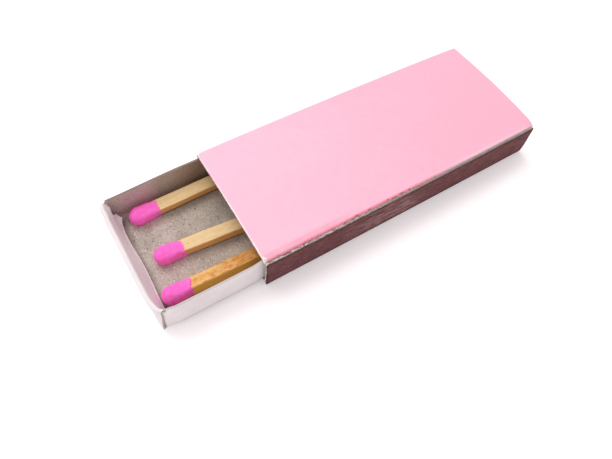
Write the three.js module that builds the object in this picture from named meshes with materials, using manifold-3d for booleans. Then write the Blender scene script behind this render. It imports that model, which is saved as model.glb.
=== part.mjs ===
// A slim pocket matchbox: a folded card sleeve with a striking coat on each side, a folded card tray pulled
// part of the way out of it, and three loose matches lying in the tray.
// Millimetres and degrees. X runs along the box, and the tray is pulled out towards -X. -Y is the side with
// the glued seam, and +Z is up. The origin is the middle of the sleeve's bottom face.
import * as THREE from "three";
import { mergeVertices } from "three/addons/utils/BufferGeometryUtils.js";
import Module from "manifold-3d";

// Sleeve
const sleeveLength = 55;
const sleeveWidth = 22.8; // over the card, without the striking coats
const sleeveHeight = 7.1;
const sleeveCard = 0.4; // thickness of the board
const sleeveFold = 0.25; // inside radius of a fold
const seamGap = 0.06; // room for glue between the two panels on the seam side
const lapDrop = 0.5; // free edge of the outer seam panel, below the top face
const lapLift = 0.5; // free edge of the inner seam panel, above the sleeve's floor
const glueInset = 0.8; // bare border around the glue film
const glueClearance = 0.01;
const strikerCoat = 0.1; // thickness of a striking coat
const strikerBorder = 0.15; // bare card above and below a striking coat

// Tray
const trayCard = 0.35;
const trayFold = 0.2; // inside radius of a fold
const trayShortfall = 0.4; // how much shorter the tray is than the sleeve
const trayPullOut = 16.7; // how far the tray stands out from its closed place
const traySideClearance = 0.15;
const trayUnderClearance = 0.1;
const trayTopClearance = 0.4;
const tabGap = 0.08; // between an end wall, the corner tabs behind it and the flap pressed flat
const tabReach = 4.5; // from a long wall to the free edge of its corner tab
const tabLift = 0.25; // lower edge of a corner tab, above the tray's floor
const flapLean = 6; // a flap springs in from the end wall by this angle
const flapSideGap = 0.75; // between a flap and each long wall
const flapLift = 0.55; // free edge of a flap, above the tray's floor
const flapTaper = 0.35; // each side of a flap comes in by this much at its free edge
const creaseGap = 0.05; // between an end wall and its flap, on top of the crease

// Matches
const stickSize = 1.9; // side of the square stick
const stickChamfer = 0.12;
const headSwell = 0.47; // coat around the stick where the head is fattest
const headHem = 0.15; // coat around the stick at the head's lower edge
const headNose = 1.65; // coat beyond the end of the stick
const headSkirt = 3.3; // coat along the stick
const headBelly = 1.7; // from the tip to the fattest place
const socketGap = 0.05; // between the stick and the head that is dipped over it
const matchEndPlay = 4.8; // spare length for a match between the two flaps
const matchLift = 0.05; // a match lies this far above the tray's floor

// Where the matches lie in the tray
const farHeadGap = 1.1; // far match, from the far wall to its head and to its tail
const farTailGap = 1;
const middleHeadOff = 0.65; // middle match, from the tray's middle line towards the near wall
const middleTailOff = 4;
const nearHeadGap = 1.75; // near match, from the near wall to its head and to its tail
const nearTailGap = 0.75;
const farTipGap = 1.1; // from the front flap's free edge to each tip
const middleTipGap = 1.7;
const nearTipGap = 0.3;
const farTwist = 11; // how far each head end is turned against its tail
const middleTwist = 5;
const nearTwist = -14;

// Fineness of the round stretches
const foldSteps = 5;
const stickRings = 8;
const headRings = 12;
const headPoints = 32;

const cardPink = new THREE.MeshStandardMaterial({ color: 0xf9bfd2, roughness: 0.55 });
const cardGrey = new THREE.MeshStandardMaterial({ color: 0xb0a196, roughness: 0.9 });
const cardWhite = new THREE.MeshStandardMaterial({ color: 0xe0d2d6, roughness: 0.7 });
const strikerBrown = new THREE.MeshStandardMaterial({ color: 0x6b4547, roughness: 0.95 });
const glueClear = new THREE.MeshStandardMaterial({ color: 0xd8cfae, roughness: 0.5 });
const woodStraw = new THREE.MeshStandardMaterial({ color: 0xe2bd88, roughness: 0.75 });
const woodHoney = new THREE.MeshStandardMaterial({ color: 0xcf974f, roughness: 0.7 });
const headMagenta = new THREE.MeshStandardMaterial({ color: 0xe65aae, roughness: 0.85 });

const { degToRad, lerp, smoothstep } = THREE.MathUtils;
const lengthways = new THREE.Vector3(1, 0, 0);
const wasm = await Module();
wasm.setup();

const part = new THREE.Group();

function addPiece(name, geometry, material, parent = part) {
  const mesh = new THREE.Mesh(geometry, material);
  mesh.name = name;
  parent.add(mesh);
  return mesh;
}

// Joins and cuts of closed meshes
function solidOf(geometry) {
  const bare = geometry.clone();
  bare.deleteAttribute("normal");
  bare.deleteAttribute("uv");
  const merged = mergeVertices(bare, 1e-5);
  const vertProperties = new Float32Array(merged.attributes.position.array);
  const triVerts = new Uint32Array(merged.index.array);
  return new wasm.Manifold(new wasm.Mesh({ numProp: 3, vertProperties, triVerts }));
}

function geometryOf(solid) {
  const mesh = solid.getMesh();
  const geometry = new THREE.BufferGeometry();
  geometry.setAttribute("position", new THREE.BufferAttribute(mesh.vertProperties, 3));
  geometry.setIndex(new THREE.BufferAttribute(mesh.triVerts, 1));
  geometry.computeVertexNormals();
  return geometry;
}

function joined(geometries) {
  return geometryOf(geometries.map(solidOf).reduce((whole, piece) => whole.add(piece)));
}

function cutBy(geometry, tool) {
  return geometryOf(solidOf(geometry).subtract(solidOf(tool)));
}

// Outline of a folded strip of card. Its corners lie on the middle of the card, as [across, up, radius],
// where radius is that of the middle line's fold at the corner.
function foldedStrip(corners, card) {
  const points = corners.map(([across, up]) => new THREE.Vector2(across, up));
  const still = new THREE.Vector2();
  const left = [];
  const right = [];
  const heading = (i) => points[i + 1].clone().sub(points[i]).normalize();
  const put = (point, along) => {
    const half = new THREE.Vector2(-along.y, along.x).multiplyScalar(card / 2);
    left.push(point.clone().add(half));
    right.push(point.clone().sub(half));
  };
  put(points[0], heading(0));
  for (let i = 1; i < points.length - 1; i++) {
    const into = heading(i - 1);
    const turn = Math.atan2(into.cross(heading(i)), into.dot(heading(i)));
    const radius = corners[i][2];
    const run = radius * Math.tan(Math.abs(turn) / 2);
    const toCentre = new THREE.Vector2(-into.y, into.x).multiplyScalar(Math.sign(turn) * radius);
    const centre = points[i].clone().addScaledVector(into, -run).add(toCentre);
    for (let step = 0; step <= foldSteps; step++) {
      const angle = (turn * step) / foldSteps;
      const spoke = toCentre.clone().rotateAround(still, angle);
      put(centre.clone().sub(spoke), into.clone().rotateAround(still, angle));
    }
  }
  put(points.at(-1), heading(points.length - 2));
  return new THREE.Shape([...left, ...right.reverse()]);
}

// An outline swept along one of the box's axes, from one place to another. An outline's own two directions
// are Y and Z when it is swept along X, X and Z along Y, and X and Y along Z.
const sweepFrames = {
  x: new THREE.Matrix4().set(0, 0, 1, 0, 1, 0, 0, 0, 0, 1, 0, 0, 0, 0, 0, 1),
  y: new THREE.Matrix4().set(1, 0, 0, 0, 0, 0, -1, 0, 0, 1, 0, 0, 0, 0, 0, 1),
  z: new THREE.Matrix4(),
};

function sweep(outline, axis, from, to) {
  const geometry = new THREE.ExtrudeGeometry(outline, { depth: to - from, bevelEnabled: false });
  geometry.translate(0, 0, axis === "y" ? -to : from);
  return geometry.applyMatrix4(sweepFrames[axis]);
}

function block(low, high) {
  const size = high.map((value, i) => value - low[i]);
  const middle = high.map((value, i) => (value + low[i]) / 2);
  return new THREE.BoxGeometry(...size).translate(...middle);
}

// A closed skin over rings of points, each ring with the same number of points
function loft(rings) {
  const count = rings[0].length;
  const points = rings.flat();
  const index = [];
  const next = (i) => (i + 1) % count;
  for (let start = 0; start < (rings.length - 1) * count; start += count) {
    for (let i = 0; i < count; i++) {
      const a = start + i;
      const b = start + next(i);
      index.push(a, b, b + count, a, b + count, a + count);
    }
  }
  const cap = (ring, flipped) => {
    const hub = points.length;
    const sum = rings[ring].reduce((total, point) => total.add(point), new THREE.Vector3());
    points.push(sum.divideScalar(count));
    for (let i = 0; i < count; i++) {
      const edge = [ring * count + i, ring * count + next(i)];
      index.push(hub, ...(flipped ? edge.reverse() : edge));
    }
  };
  cap(0, true);
  cap(rings.length - 1, false);
  const geometry = new THREE.BufferGeometry().setFromPoints(points);
  geometry.setIndex(index);
  geometry.computeVertexNormals();
  return geometry;
}

// Sleeve: one strip of card, from the inner seam panel over the top, the far side and the bottom to the
// outer seam panel
const mouth = -sleeveLength / 2;
const sleeveSide = sleeveWidth / 2;
const sleeveFoldMiddle = sleeveFold + sleeveCard / 2;
const outerLapMiddle = sleeveCard / 2 - sleeveSide;
const innerLapMiddle = outerLapMiddle + sleeveCard + seamGap;
const farSideMiddle = sleeveSide - sleeveCard / 2;
const bottomMiddle = sleeveCard / 2;
const topMiddle = sleeveHeight - sleeveCard / 2;
const lapTop = sleeveHeight - lapDrop;
const innerLapEdge = sleeveCard + lapLift;
const sleeveOutline = foldedStrip(
  [
    [innerLapMiddle, innerLapEdge],
    [innerLapMiddle, topMiddle, sleeveFoldMiddle],
    [farSideMiddle, topMiddle, sleeveFoldMiddle],
    [farSideMiddle, bottomMiddle, sleeveFoldMiddle],
    [outerLapMiddle, bottomMiddle, sleeveFoldMiddle],
    [outerLapMiddle, lapTop],
  ],
  sleeveCard,
);
addPiece("sleeve", sweep(sleeveOutline, "x", mouth, -mouth), cardPink);

const glueOuter = outerLapMiddle + sleeveCard / 2 + glueClearance;
const glueInner = innerLapMiddle - sleeveCard / 2 - glueClearance;
const glueLow = [mouth + glueInset, glueOuter, innerLapEdge + glueInset];
const glueHigh = [-mouth - glueInset, glueInner, lapTop - glueInset];
addPiece("seam_glue", block(glueLow, glueHigh), glueClear);

// Striking coats on the outer seam panel and on the far side, between the folds
const foldHeight = sleeveFold + sleeveCard;
const coatLow = foldHeight + strikerBorder;
const nearCoatHigh = lapTop - strikerBorder;
const farCoatHigh = sleeveHeight - foldHeight - strikerBorder;
const coatOutside = sleeveSide + strikerCoat;
addPiece(
  "near_striker",
  block([mouth, -coatOutside, coatLow], [-mouth, -sleeveSide, nearCoatHigh]),
  strikerBrown,
);
addPiece(
  "far_striker",
  block([mouth, sleeveSide, coatLow], [-mouth, coatOutside, farCoatHigh]),
  strikerBrown,
);

// Tray: one blank of card, with its floor, long walls, end walls and the corner tabs behind the end walls
const trayLength = sleeveLength - trayShortfall;
const trayFront = -trayLength / 2 - trayPullOut;
const trayRear = trayLength / 2 - trayPullOut;
const trayNear = innerLapMiddle + sleeveCard / 2 + traySideClearance;
const trayFar = farSideMiddle - sleeveCard / 2 - traySideClearance;
const trayBottom = sleeveCard + trayUnderClearance;
const trayTop = sleeveHeight - sleeveCard - trayTopClearance;
const trayFloor = trayBottom + trayCard;
const trayFoldMiddle = trayFold + trayCard / 2;
const floorMiddle = trayBottom + trayCard / 2;
const nearWallMiddle = trayNear + trayCard / 2;
const farWallMiddle = trayFar - trayCard / 2;

// The crease on top of an end wall goes over the tabs. Up is a height, and In a distance from the tray's end.
const creaseRadius = trayCard + tabGap;
const creaseMiddle = trayTop - trayCard / 2;
const creaseAxisUp = creaseMiddle - creaseRadius;
const creaseAxisIn = trayCard / 2 + creaseRadius;
const tabMiddleIn = trayCard + tabGap + trayCard / 2;
const wallStart = tabMiddleIn + trayFoldMiddle;
const panelOverlap = 1; // the panels of the one blank run into each other by this much

// place turns a distance in from a tray end into its X
const trayEnds = [
  { name: "front", place: (inward) => trayFront + inward },
  { name: "rear", place: (inward) => trayRear - inward },
];

const trayChannel = foldedStrip(
  [
    [nearWallMiddle, trayTop],
    [nearWallMiddle, floorMiddle, trayFoldMiddle],
    [farWallMiddle, floorMiddle, trayFoldMiddle],
    [farWallMiddle, trayTop],
  ],
  trayCard,
);
const trayPanels = [sweep(trayChannel, "x", trayFront + wallStart, trayRear - wallStart)];
for (const { place } of trayEnds) {
  const endWall = foldedStrip(
    [
      [place(wallStart + panelOverlap), floorMiddle],
      [place(trayCard / 2), floorMiddle, trayFoldMiddle],
      [place(trayCard / 2), creaseMiddle, creaseRadius],
      [place(creaseAxisIn), creaseMiddle],
    ],
    trayCard,
  );
  trayPanels.push(sweep(endWall, "y", trayNear, trayFar));
  const tabReaches = [
    [nearWallMiddle, trayNear + tabReach],
    [farWallMiddle, trayFar - tabReach],
  ];
  for (const [wallMiddle, tabEnd] of tabReaches) {
    const cornerTab = foldedStrip(
      [
        [place(wallStart + panelOverlap), wallMiddle],
        [place(tabMiddleIn), wallMiddle, trayFoldMiddle],
        [place(tabMiddleIn), tabEnd],
      ],
      trayCard,
    );
    trayPanels.push(sweep(cornerTab, "z", trayFloor + tabLift, creaseAxisUp));
  }
}
addPiece("tray", joined(trayPanels), cardGrey);

// Tuck-in flaps: past the crease, each end wall hangs down inside the tray, sprung inwards
const lean = degToRad(flapLean);
const flapEdge = trayFloor + flapLift;
const flapNear = trayNear + trayCard + flapSideGap;
const flapFar = trayFar - trayCard - flapSideGap;
const flapMiddle = (flapNear + flapFar) / 2;
const flapFoldIn = creaseAxisIn + 2 * creaseGap; // the flap's own fold begins here
const flapCornerIn = flapFoldIn + creaseRadius * Math.tan((Math.PI / 2 - lean) / 2);
const flapEdgeIn = flapCornerIn + (creaseMiddle - flapEdge) * Math.tan(lean);
for (const { name, place } of trayEnds) {
  const flapOutline = foldedStrip(
    [
      [place(creaseAxisIn + creaseGap), creaseMiddle],
      [place(flapCornerIn), creaseMiddle, creaseRadius],
      [place(flapEdgeIn), flapEdge],
    ],
    trayCard,
  );
  const flap = sweep(flapOutline, "y", flapNear, flapFar);
  const spots = flap.attributes.position;
  for (let i = 0; i < spots.count; i++) {
    const down = (trayTop - spots.getZ(i)) / (trayTop - flapEdge);
    const side = Math.sign(spots.getY(i) - flapMiddle);
    spots.setY(i, spots.getY(i) - side * flapTaper * down);
  }
  addPiece(`${name}_flap`, flap, cardWhite);
}

// Matches. A match's own X runs from the tip of its head to its tail, along the middle of the stick.
const flapClear = flapEdgeIn + trayCard / 2 / Math.cos(lean);
const matchLength = trayLength - 2 * flapClear - matchEndPlay;
const headLength = headNose + headSkirt;
const headRadius = stickSize / 2 + headSwell;
const hemRadius = stickSize / 2 + headHem;
const bellySquareness = 3; // exponent of the head's rounded square section where it is fattest
const hemSquareness = 14; // and at its lower edge, where it follows the stick
const noseCrowding = 1.8; // brings the head's sections closer together towards the tip

const turnAt = (along, twist) => degToRad(twist) * (1 - along / matchLength);

function stickSection(along, grow, twist) {
  const half = stickSize / 2 + grow;
  const shoulder = half - stickChamfer;
  const section = [];
  for (let quarter = 0; quarter < 4; quarter++) {
    for (const up of [-shoulder, shoulder]) {
      const corner = new THREE.Vector3(along, half, up);
      section.push(corner.applyAxisAngle(lengthways, (quarter * Math.PI) / 2 + turnAt(along, twist)));
    }
  }
  return section;
}

function stickBetween(from, to, grow, twist) {
  const sections = [];
  for (let ring = 0; ring <= stickRings; ring++) {
    sections.push(stickSection(lerp(from, to, ring / stickRings), grow, twist));
  }
  return loft(sections);
}

function headSection(along, twist) {
  const nose = Math.min(along / headBelly, 1);
  const skirt = smoothstep(along, headBelly, headLength);
  const radius = lerp(headRadius * Math.sqrt(1 - (1 - nose) ** 2), hemRadius, skirt);
  const squareness = lerp(bellySquareness, hemSquareness, skirt);
  const section = [];
  for (let i = 0; i < headPoints; i++) {
    const angle = ((i + 0.5) / headPoints) * 2 * Math.PI;
    const spread = Math.abs(Math.cos(angle)) ** squareness + Math.abs(Math.sin(angle)) ** squareness;
    const reach = radius * spread ** (-1 / squareness);
    const point = new THREE.Vector3(along, reach * Math.cos(angle), reach * Math.sin(angle));
    section.push(point.applyAxisAngle(lengthways, turnAt(along, twist)));
  }
  return section;
}

function dippedHead(twist) {
  const sections = [];
  for (let ring = 1; ring <= headRings; ring++) {
    sections.push(headSection(headLength * (ring / headRings) ** noseCrowding, twist));
  }
  const socket = stickBetween(headNose - socketGap, headLength + panelOverlap, socketGap, twist);
  return cutBy(loft(sections), socket);
}

// How far a turned head reaches down from its middle line where it is fattest
function headDrop(twist) {
  const turn = turnAt(headBelly, twist);
  const dual = bellySquareness / (bellySquareness - 1);
  return headRadius * (Math.abs(Math.cos(turn)) ** dual + Math.abs(Math.sin(turn)) ** dual) ** (1 / dual);
}

const trayMiddle = (trayNear + trayFar) / 2;
const tailRadius = stickSize / 2;
const farInside = trayFar - trayCard;
const nearInside = trayNear + trayCard;
const matches = [
  {
    name: "far",
    wood: woodStraw,
    headAcross: farInside - farHeadGap - headRadius,
    tailAcross: farInside - farTailGap - tailRadius,
    tipGap: farTipGap,
    twist: farTwist,
  },
  {
    name: "middle",
    wood: woodStraw,
    headAcross: trayMiddle - middleHeadOff,
    tailAcross: trayMiddle - middleTailOff,
    tipGap: middleTipGap,
    twist: middleTwist,
  },
  {
    name: "near",
    wood: woodHoney,
    headAcross: nearInside + nearHeadGap + headRadius,
    tailAcross: nearInside + nearTailGap + tailRadius,
    tipGap: nearTipGap,
    twist: nearTwist,
  },
];

const lyingHeight = trayFloor + matchLift;
const bellyToTail = matchLength - headBelly;
for (const { name, wood, headAcross, tailAcross, tipGap, twist } of matches) {
  const bellyX = trayFront + flapClear + tipGap + headBelly;
  const belly = new THREE.Vector3(bellyX, headAcross, lyingHeight + headDrop(twist));
  const toTail = new THREE.Vector3(0, tailAcross - headAcross, lyingHeight + tailRadius - belly.z);
  toTail.x = Math.sqrt(bellyToTail ** 2 - toTail.lengthSq());
  const match = new THREE.Group();
  match.position.copy(belly);
  match.quaternion.setFromUnitVectors(lengthways, toTail.normalize());
  part.add(match);
  const stick = addPiece(`${name}_match_stick`, stickBetween(headNose, matchLength, 0, twist), wood, match);
  const head = addPiece(`${name}_match_head`, dippedHead(twist), headMagenta, match);
  stick.position.x = -headBelly;
  head.position.x = -headBelly;
}

export default part;
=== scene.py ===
import math

import bmesh
import bpy
from mathutils import Matrix, Vector, noise
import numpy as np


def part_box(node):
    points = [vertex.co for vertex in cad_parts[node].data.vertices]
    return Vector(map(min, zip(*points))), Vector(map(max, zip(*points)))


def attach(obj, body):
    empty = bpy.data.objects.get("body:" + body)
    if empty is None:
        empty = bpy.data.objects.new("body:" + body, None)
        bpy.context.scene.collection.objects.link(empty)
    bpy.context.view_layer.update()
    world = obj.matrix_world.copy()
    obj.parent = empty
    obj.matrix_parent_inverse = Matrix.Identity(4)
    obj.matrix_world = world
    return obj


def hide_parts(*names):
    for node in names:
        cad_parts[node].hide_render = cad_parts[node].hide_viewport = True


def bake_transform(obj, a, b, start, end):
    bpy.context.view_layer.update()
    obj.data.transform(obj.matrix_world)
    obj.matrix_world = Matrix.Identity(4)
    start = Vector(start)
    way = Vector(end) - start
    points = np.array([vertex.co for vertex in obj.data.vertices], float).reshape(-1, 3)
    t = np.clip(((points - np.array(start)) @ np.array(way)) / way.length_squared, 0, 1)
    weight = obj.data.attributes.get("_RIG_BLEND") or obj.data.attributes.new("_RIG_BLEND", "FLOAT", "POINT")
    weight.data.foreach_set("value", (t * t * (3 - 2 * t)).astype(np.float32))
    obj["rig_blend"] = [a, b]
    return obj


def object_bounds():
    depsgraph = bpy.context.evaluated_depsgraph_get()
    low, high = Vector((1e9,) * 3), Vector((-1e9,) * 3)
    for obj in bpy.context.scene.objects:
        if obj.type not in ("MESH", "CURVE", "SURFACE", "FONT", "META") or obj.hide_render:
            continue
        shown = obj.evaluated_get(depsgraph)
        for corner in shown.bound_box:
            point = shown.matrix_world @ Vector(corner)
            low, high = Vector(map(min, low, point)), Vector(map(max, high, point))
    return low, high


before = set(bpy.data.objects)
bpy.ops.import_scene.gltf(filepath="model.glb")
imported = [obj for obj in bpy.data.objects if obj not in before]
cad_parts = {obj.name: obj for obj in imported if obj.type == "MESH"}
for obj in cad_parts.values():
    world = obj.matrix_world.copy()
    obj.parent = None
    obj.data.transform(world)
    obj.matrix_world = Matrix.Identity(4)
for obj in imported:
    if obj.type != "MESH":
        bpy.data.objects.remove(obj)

# A slim pocket matchbox with its tray pulled part of the way out. Sizes are millimetres in the frame of the
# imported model: x runs along the box, -y is the side with the glued seam, z is up.
mm = 0.001
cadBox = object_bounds()
scene = bpy.context.scene
scene.view_settings.view_transform = "Standard"


def boxOf(node):
    low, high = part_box(node)
    return low / mm, high / mm


# numbers

def between(low, high, share):
    return low + (high - low) * share


def ease(low, high, value):  # 0 at low, 1 at high, smooth in the middle
    share = min(max((value - low) / (high - low), 0), 1)
    return share * share * (3 - 2 * share)


def plateau(start, full, fading, end, value):  # rises to 1 at full, and falls again after fading
    return ease(start, full, value) * ease(end, fading, value)


def steps(low, high, most):  # even places from low to high, no further apart than most
    count = max(1, math.ceil(abs(high - low) / most - 1e-6))
    return [between(low, high, i / count) for i in range(count + 1)]


def ripple(size, *place):  # smooth noise from -1 to 1, with lumps of about that size
    return noise.noise(Vector(place) / size)


def curveThrough(points):  # a smooth curve y(x) through a few points given from left to right
    xs, ys = zip(*points)
    last = len(xs) - 1
    slopes = []
    for i in range(last + 1):
        before, after = max(i - 1, 0), min(i + 1, last)
        slopes.append((ys[after] - ys[before]) / (xs[after] - xs[before]))

    def height(x):
        if x <= xs[0]:
            return ys[0]
        if x >= xs[last]:
            return ys[last]
        i = next(k for k in range(last) if x <= xs[k + 1])
        run = xs[i + 1] - xs[i]
        t = (x - xs[i]) / run
        climb = ys[i + 1] - ys[i]
        bend = (slopes[i] * run - climb) * (1 - t) - (slopes[i + 1] * run - climb) * t
        return ys[i] + climb * t + t * (1 - t) * bend

    return height


# shader wires

class Wire:
    def __init__(self, tree, socket=None):
        self.tree = tree
        self.socket = socket

    def plug(self, node, values):  # fills sockets with links or plain values
        for name, value in values.items():
            if isinstance(value, Wire):
                self.tree.links.new(value.socket, node.inputs[name])
            else:
                node.inputs[name].default_value = value

    def add(self, kind, settings=None, inputs=None, output=0):
        node = self.tree.nodes.new("ShaderNode" + kind)
        for name, value in (settings or {}).items():
            setattr(node, name, value)
        self.plug(node, inputs or {})
        return Wire(self.tree, node.outputs[output])

    def other(self, output):
        return Wire(self.tree, self.socket.node.outputs[output])

    def maths(self, operation, first, second):
        return self.add("Math", {"operation": operation}, {0: first, 1: second})

    def __add__(self, value):
        return self.maths("ADD", self, value)

    def __radd__(self, value):
        return self.maths("ADD", value, self)

    def __sub__(self, value):
        return self.maths("SUBTRACT", self, value)

    def __rsub__(self, value):
        return self.maths("SUBTRACT", value, self)

    def __mul__(self, value):
        return self.maths("MULTIPLY", self, value)

    def __rmul__(self, value):
        return self.maths("MULTIPLY", value, self)

    def __truediv__(self, value):
        return self.maths("DIVIDE", self, value)

    def __lt__(self, value):
        return self.maths("LESS_THAN", self, value)

    def __gt__(self, value):
        return self.maths("GREATER_THAN", self, value)


def tint(red, green, blue):  # a colour as a paint chart gives it, from 0 to 255
    def light(level):
        level /= 255
        return level / 12.92 if level <= 0.04045 else ((level + 0.055) / 1.055) ** 2.4

    return light(red), light(green), light(blue), 1


def rise(value, low, high):  # soft mask, 0 at low and 1 at high
    ends = {"Value": value, "From Min": low, "From Max": high}
    return value.add("MapRange", {"interpolation_type": "SMOOTHSTEP"}, ends)


def within(value, start, full, fading, end):  # soft mask, 1 from full to fading
    return rise(value, start, full) * rise(value, end, fading)


def squared(value):
    return value * value


def paint(share, first, second):
    return share.add("Mix", {"data_type": "RGBA"}, {0: share, 6: first, 7: second}, 2)


def stretched(place, *times):
    return place.add("VectorMath", {"operation": "MULTIPLY"}, {0: place, 1: times})


def warped(place, swirls, *by):  # moved about by noise, by up to so many millimetres
    inputs = {0: swirls.other("Color"), 1: Vector(by) * mm, 2: place}
    return place.add("VectorMath", {"operation": "MULTIPLY_ADD"}, inputs)


def cloud(place, size, detail=2, rough=0.5):  # noise with lumps of about that many millimetres
    values = {"Vector": place, "Scale": 1 / (size * mm), "Detail": detail, "Roughness": rough}
    return place.add("TexNoise", {}, values)


def flecks(place, spacing, radius, share, seed):  # round spots, in a share of cells of that spacing
    moved = place.add("VectorMath", {"operation": "ADD"}, {0: place, 1: (seed, seed, 0)})
    cells = place.add("TexVoronoi", {}, {"Vector": moved, "Scale": 1 / (spacing * mm)})
    picked = cells.add("SeparateColor", {}, {"Color": cells.other("Color")})
    grown = radius / spacing * (0.5 + picked.other("Green"))
    return (1 - rise(cells / grown, 0.6, 1)) * (picked < share)


def newFinish(name):
    material = bpy.data.materials.new(name)
    material.use_nodes = True
    tree = material.node_tree
    place = Wire(tree).add("TexCoord", {}, {}, "Object")
    return material, place


def coat(material, colour, rough, gloss, bump=None, depth=0.0, glow=None):
    # gloss is the specular level, depth the bumps' in mm, and glow an emitted colour with its strength
    values = {"Base Color": colour, "Roughness": rough, "Specular IOR Level": gloss}
    if glow:
        values["Emission Color"], values["Emission Strength"] = glow
    if bump:
        values["Normal"] = bump.add("Bump", {}, {"Height": bump, "Distance": depth * mm, "Strength": 1})
    Wire(material.node_tree).plug(material.node_tree.nodes["Principled BSDF"], values)
    return material


def parts(place):  # a point's x, y and z in millimetres
    split = place.add("SeparateXYZ", {}, {0: place})
    return split / mm, split.other(1) / mm, split.other(2) / mm


# meshes

def foldLine(corners, runCuts, foldCuts):
    # the middle line of a folded strip of card. Corners are (across, up) or, where it folds, (across, up,
    # radius); each straight run is cut into so many pieces, and a run of no pieces has no length
    spots = [Vector(corner[:2]) for corner in corners]
    line = [] if runCuts[0] == 0 else [spots[0]]
    for i in range(1, len(spots)):
        if i == len(spots) - 1:
            arc = [spots[i]]
        else:
            into = (spots[i] - spots[i - 1]).normalized()
            onward = (spots[i + 1] - spots[i]).normalized()
            turn = math.atan2(into.x * onward.y - into.y * onward.x, into.dot(onward))
            radius = corners[i][2]
            toCentre = Vector((-into.y, into.x)) * math.copysign(radius, turn)
            centre = spots[i] - into * radius * math.tan(abs(turn) / 2) + toCentre
            arc = []
            for k in range(foldCuts + 1):
                spoke = toCentre.copy()
                spoke.rotate(Matrix.Rotation(turn * k / foldCuts, 2))
                arc.append(centre - spoke)
        if runCuts[i - 1]:
            start = line[-1]
            line += [start.lerp(arc[0], k / runCuts[i - 1]) for k in range(1, runCuts[i - 1])]
        elif i == len(spots) - 1:
            arc = []
        line += arc
    return line


def layRows(bm, rows, flipped=False, closed=False):
    laid = [[bm.verts.new(Vector(spot) * mm) for spot in row] for row in rows]
    for low, high in zip(laid, laid[1:]):
        if closed:
            low, high = low + low[:1], high + high[:1]
        for corners in zip(low, low[1:], high[1:], high):
            bm.faces.new(reversed(corners) if flipped else corners)
    return laid


def newSheet():
    bm = bmesh.new()
    bm.verts.layers.float.new("joined")
    return bm


def joinAlong(bm, row):  # marks a row of points where the sheet goes on as another piece
    mark = bm.verts.layers.float["joined"]
    for spot in row:
        spot[mark] = 1


def meshPiece(name, bm, finishes):
    mesh = bpy.data.meshes.new(name)
    bm.to_mesh(mesh)
    bm.free()
    for finish in finishes:
        mesh.materials.append(finish)
    piece = bpy.data.objects.new(name, mesh)
    scene.collection.objects.link(piece)
    return piece


def settle(piece, sharp=40):  # modifiers applied, shaded smooth but for its sharp edges
    graph = bpy.context.evaluated_depsgraph_get()
    mesh = bpy.data.meshes.new_from_object(piece.evaluated_get(graph))
    piece.modifiers.clear()
    piece.data = mesh
    mesh.shade_smooth()
    mesh.set_sharp_from_angle(angle=math.radians(sharp))
    return piece


sheetLook = {
    "merge": 0.0005,  # points closer than this become one
    "cutAngle": 50,  # a sharper edge is a cut edge
    "soften": 0.05,
}


def cardPiece(name, bm, card, finishes, soften=sheetLook["soften"]):
    # a folded sheet with a thickness: its outside, its inside and its cut edges have their own finishes. Cut
    # edges are softened, apart from those where the sheet goes on as another piece
    bmesh.ops.remove_doubles(bm, verts=bm.verts, dist=sheetLook["merge"] * mm)
    piece = meshPiece(name, bm, finishes)
    board = piece.modifiers.new("board", "SOLIDIFY")
    board.thickness = card * mm
    board.offset = 0
    board.material_offset = 1
    board.material_offset_rim = 2
    settle(piece)
    solid = bmesh.new()
    solid.from_mesh(piece.data)
    joined = solid.verts.layers.float.get("joined")
    cuts = []
    for line in solid.edges:
        if line.calc_face_angle(0) > math.radians(sheetLook["cutAngle"]):
            if not joined or min(spot[joined] for spot in line.verts) < 0.5:
                cuts.append(line)
    bmesh.ops.bevel(solid, geom=cuts, affect="EDGES", offset=soften * mm, segments=2, profile=0.5,
                    clamp_overlap=True)
    if joined:
        solid.verts.layers.float.remove(joined)
    solid.to_mesh(piece.data)
    solid.free()
    return settle(piece)


def carry(piece, body, slot, *nodes):
    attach(piece, body)
    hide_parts(*nodes)


print("helpers ready")

# finishes of the card

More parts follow.
